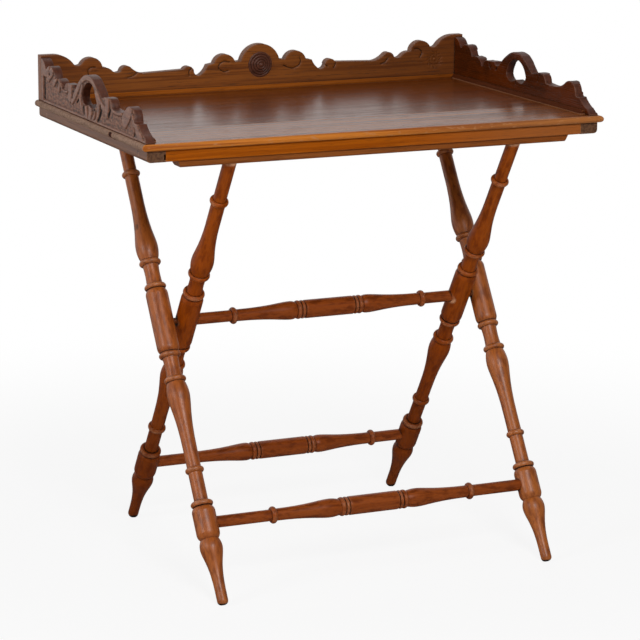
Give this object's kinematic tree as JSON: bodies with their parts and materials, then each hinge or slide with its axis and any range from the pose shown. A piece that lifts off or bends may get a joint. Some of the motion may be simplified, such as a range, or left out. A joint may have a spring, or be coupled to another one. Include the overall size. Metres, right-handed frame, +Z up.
{
  "type": "butlers tray table",
  "caption": "Butler's tray table: lift-off tray with scalloped galleries and pierced hand holes, on a folding stand of crossed turned legs with stretchers and flat top rails.",
  "frame": {"origin": "on the floor, under the middle of the table's bounding box", "axes": "+X to the table's right seen from its open front, +Y towards the back gallery, +Z up"},
  "size_m": [0.775, 0.545, 0.7835],
  "materials": {
    "turned_wood": "waxed satin",
    "rail_wood": "waxed satin",
    "floor_wood": "polished",
    "frame_wood": "waxed satin",
    "gallery_wood": "waxed, worn",
    "roundel_wood": "polished",
    "webbing": "woven",
    "tack_brass": "dull",
    "screw_steel": "dull"
  },
  "bodies": {
    "outer_frame": {"leg_outer_left": "turned_wood", "leg_outer_right": "turned_wood", "top_rail_back": "rail_wood", "stretcher_lower_front": "turned_wood", "strap_left": "webbing", "strap_right": "webbing", "strap_tacks_back": "tack_brass"},
    "inner_frame": {"leg_inner_left": "turned_wood", "leg_inner_right": "turned_wood", "top_rail_front": "rail_wood", "stretcher_lower_back": "turned_wood", "pivot_bar": "turned_wood", "strap_tacks_front": "tack_brass"},
    "tray": {"floor_board_front": "floor_wood", "floor_board_back": "floor_wood", "frame_front": "frame_wood", "frame_back": "frame_wood", "frame_left": "frame_wood", "frame_right": "frame_wood", "bearer_back": "frame_wood", "gallery_back": "gallery_wood", "gallery_left": "gallery_wood", "gallery_right": "gallery_wood", "base_strip_back": "gallery_wood", "base_strip_left": "gallery_wood", "base_strip_right": "gallery_wood", "roundel": "roundel_wood", "gallery_screws": "screw_steel", "frame_screws": "screw_steel", "frame_pegs": "frame_wood", "gallery_pegs": "frame_wood"}
  },
  "joints": [
    {"name": "stand_fold", "type": "hinge", "parent": "outer_frame", "child": "inner_frame", "pos_m": [0, -0.01846, 0.39089], "axis": [-1, 0, 0], "range_deg": [0, 58], "deforming": ["strap_left", "strap_right"]},
    {"name": "tray_lift", "type": "slide", "parent": "outer_frame", "child": "tray", "axis": [0, 0, 1], "range_m": [0, 0.27]}
  ],
  "couplings": [
    {"joint": "tray_lift", "follows": "stand_fold", "m_per_rad": 0.26}
  ]
}
